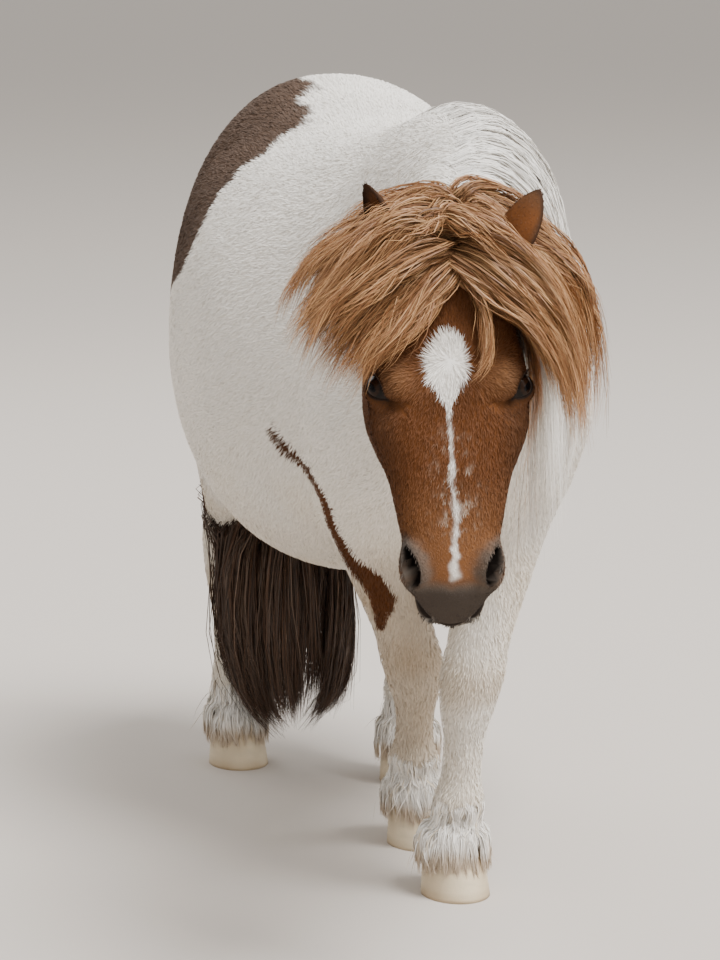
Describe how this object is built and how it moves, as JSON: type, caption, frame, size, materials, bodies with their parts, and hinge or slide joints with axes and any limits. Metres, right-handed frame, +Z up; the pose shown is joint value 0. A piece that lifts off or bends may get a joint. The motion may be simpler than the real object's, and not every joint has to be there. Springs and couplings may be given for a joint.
{
  "type": "shetland pony",
  "caption": "Life-size still model of a small skewbald pony in a walking stance, head low, with a thick mane, forelock, tail and feathered fetlocks.",
  "frame": {"origin": "on the floor, below the middle of the pony's bounding box", "axes": "+Z up, the pony looks along -Y, its left side is at +X"},
  "size_m": [0.5434, 1.3003, 0.9251],
  "materials": {
    "white_coat": "matte",
    "chestnut_coat": "matte",
    "dark_hair": "satin",
    "horn": "satin",
    "eye": "gloss"
  },
  "bodies": {
    "root": {"head": "chestnut_coat", "ear_left": "chestnut_coat", "ear_right": "chestnut_coat", "eye_left": "eye", "eye_right": "eye", "neck": "white_coat", "torso": "white_coat", "tail_upper": "dark_hair", "tail_lower": "dark_hair", "foreleg_left": "white_coat", "fetlock_fore_left": "white_coat", "hoof_fore_left": "horn", "foreleg_right": "white_coat", "fetlock_fore_right": "white_coat", "hoof_fore_right": "horn", "hindleg_left": "white_coat", "fetlock_hind_left": "white_coat", "hoof_hind_left": "horn", "hindleg_right": "white_coat", "fetlock_hind_right": "white_coat", "hoof_hind_right": "horn"}
  },
  "joints": []
}
